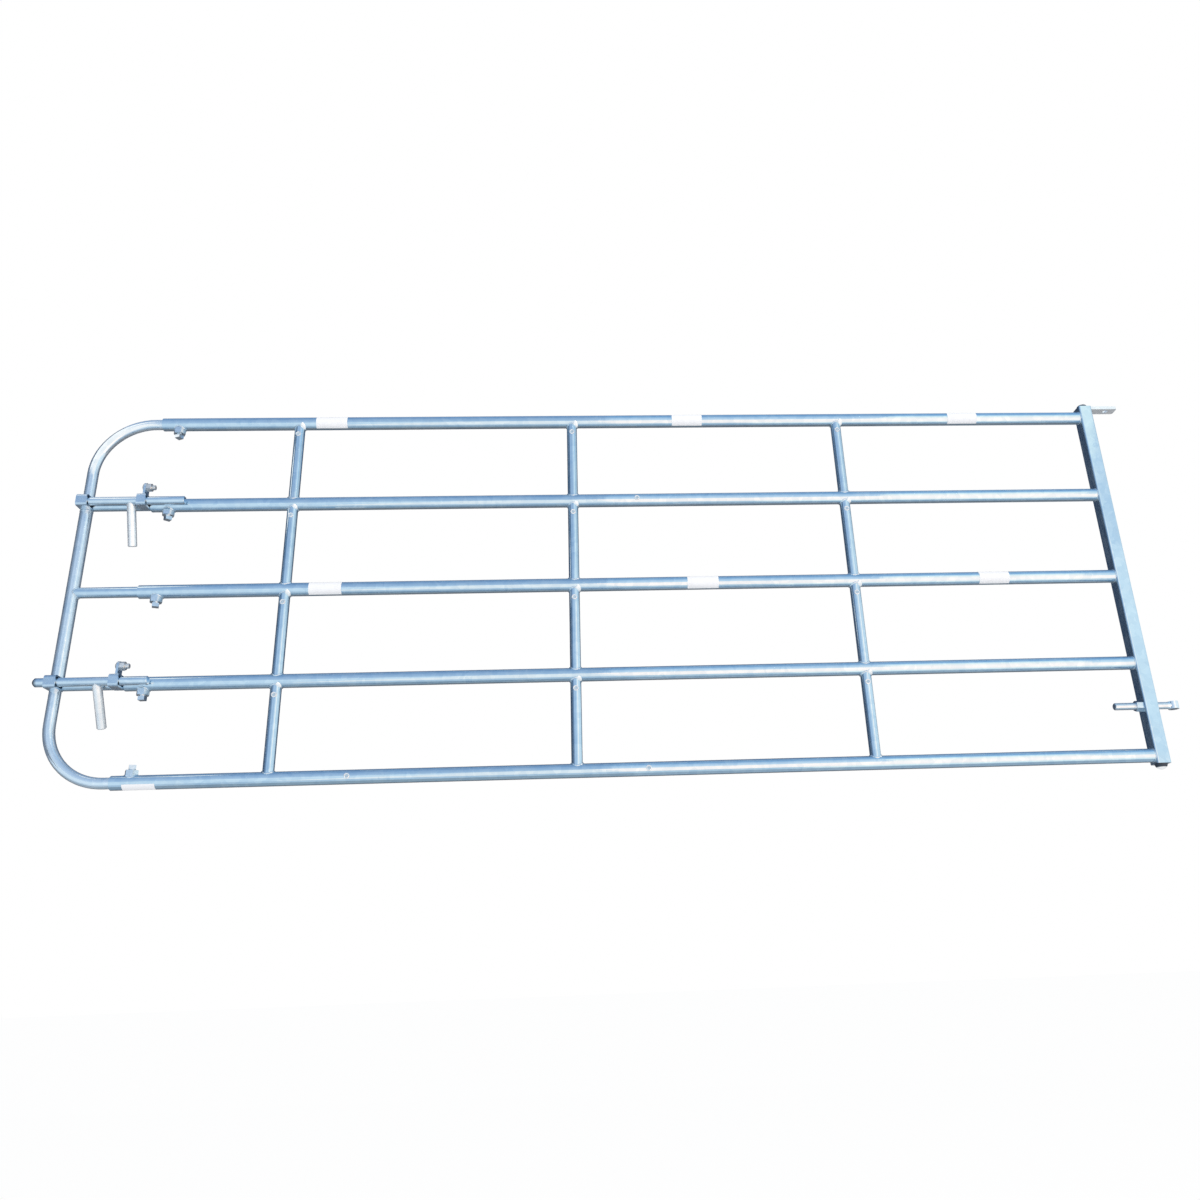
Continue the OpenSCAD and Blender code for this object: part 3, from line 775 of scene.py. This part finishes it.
for name, start, end, colours in SKY:
    for (x0, x1), colour in zip(COLUMNS, colours):
        low, high = on_tent((x0 + x1) / 2, start), on_tent((x0 + x1) / 2, end)
        aim = Vector((low.x, HUB.y, HUB.z))
        card(name, (x1 - x0, (high - low).length), (low + high) / 2, aim, colour)
for name, y0, y1, colours in GROUND:
    for (x0, x1), colour in zip(COLUMNS, colours):
        place = Vector(((x0 + x1) / 2, (y0 + y1) / 2, GROUND_Z))
        card(name, (x1 - x0, y1 - y0), place, place + Vector((0, 0, 1)), colour)
for (x0, x1), colour in zip(COLUMNS, HORIZON):
    place = Vector(((x0 + x1) / 2, -8.0, -0.5))
    card("horizon", (x1 - x0, 3.7), place, place + Vector((0, 1, 0)), colour)
for x, colour in ((COLUMNS[0][0], (0.07, 0.11, 0.18)), (COLUMNS[-1][1], (0.85, 0.98, 1.05))):
    card("end", (13.0, 6.5), (x, -1.5, 0.9), (-1.5, -1.5, 0.9), colour)
place = Vector((0.1, -0.95, GROUND_Z + 0.01))
card("near_right", (1.6, 0.7), place, place + Vector((0, 0, 1)), (1.12, 1.14, 1.08))
bend = Vector((-2.995, 0.0, -0.085))
card("bend_glow", (0.30, 0.30), bend + Vector((-0.18, -0.21, 0.18)), bend, (1.22, 1.18, 1.15))
card("bend_front", (0.13, 0.13), bend + Vector((0.0, -0.11, 0.0)), bend, (1.16, 1.10, 1.06))
print("cards:", [row[0] for row in SKY + GROUND], "in", len(COLUMNS), "columns")

# %% [markdown]
# The background is white to the camera and to reflections, and a plain, slightly blue sky to everything
# else. A Light Path node tells the two apart.

# %% World
world = bpy.data.worlds.new("studio")
bpy.context.scene.world = world
world.use_nodes = True
tree = world.node_tree
rays = tree.nodes.new("ShaderNodeLightPath")
plain_sky = tree.nodes["Background"]
plain_sky.inputs["Color"].default_value = (0.93, 0.96, 1.0, 1)
plain_sky.inputs["Strength"].default_value = 0.92
white_sky = tree.nodes.new("ShaderNodeBackground")
white_sky.inputs["Color"].default_value = WHITE
white_sky.inputs["Strength"].default_value = 1.0
seen = rays.outputs[f"Is {SEES_WHITE[0]} Ray"]
for kind in SEES_WHITE[1:]:
    either = tree.nodes.new("ShaderNodeMath")
    either.operation = "MAXIMUM"
    tree.links.new(seen, either.inputs[0])
    tree.links.new(rays.outputs[f"Is {kind} Ray"], either.inputs[1])
    seen = either.outputs[0]
pick = tree.nodes.new("ShaderNodeMixShader")
tree.links.new(seen, pick.inputs[0])
tree.links.new(plain_sky.outputs[0], pick.inputs[1])
tree.links.new(white_sky.outputs[0], pick.inputs[2])
tree.links.new(pick.outputs[0], tree.nodes["World Output"].inputs["Surface"])
print("world:", world.name)

# %% [markdown]
# Two soft lamps add a little shape to what is not bare metal, such as the labels and the plugs.
# Reflections do not see them.

# %% Lamps


def lamp(name, place, aim, size, watts, colour):
    light = bpy.data.lights.new(name, "AREA")
    light.shape, light.size, light.size_y = "RECTANGLE", size[0], size[1]
    light.energy, light.color = watts, colour
    holder = bpy.data.objects.new(name, light)
    holder.location = place
    holder.rotation_euler = (Vector(aim) - Vector(place)).to_track_quat("-Z", "Y").to_euler()
    holder.visible_glossy = False
    bpy.context.scene.collection.objects.link(holder)


lamp("key", (0.6, -4.6, 2.4), (-1.4, 0, -0.6), (2.4, 1.6), 110, (1.0, 0.97, 0.93))
lamp("fill", (-4.2, -4.6, -0.4), (-2.0, 0, -0.5), (2.5, 2.0), 40, (0.94, 0.97, 1.0))
print("lamps:", [item.name for item in bpy.data.lights])

# %% [markdown]
# The camera stands low in front of the gate and looks up, below the bottom rail. Its place, its focal
# length and its middle come from a fit to the corners of the gate in the photograph.

# %% Camera
FOCAL_PX = 1000.0
FRAME_PX = 1200.0
VIEW_POINT = (-1.6596, -2.6529, -1.5959)
FORWARD = Vector((0.0568, 0.9340, 0.3527)).normalized()
ACROSS = Vector((0.9982, -0.0471, -0.0359)).normalized()
MIDDLE_PX = (634.3, 595.6)

lens = bpy.data.cameras.new("camera")
lens.sensor_width = 36.0
lens.lens = FOCAL_PX / FRAME_PX * lens.sensor_width
lens.shift_x = (FRAME_PX / 2 - MIDDLE_PX[0]) / FRAME_PX
lens.shift_y = (MIDDLE_PX[1] - FRAME_PX / 2) / FRAME_PX
lens.clip_end = 200.0
camera = bpy.data.objects.new("camera", lens)
upward = ACROSS.cross(FORWARD).normalized()
ACROSS = FORWARD.cross(upward)
turned = Matrix((ACROSS, upward, -FORWARD)).transposed()
camera.matrix_world = Matrix.Translation(VIEW_POINT) @ turned.to_4x4()
bpy.context.scene.collection.objects.link(camera)
bpy.context.scene.camera = camera
bpy.context.scene.view_settings.view_transform = "Standard"
print("focal length, mm:", round(lens.lens, 2))

# %% [markdown]
# The last cell prints the size of the box round the dressed gate.

# %% Sizes and finish
low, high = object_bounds()
print("visual box", [round(v, 3) for v in high - low])
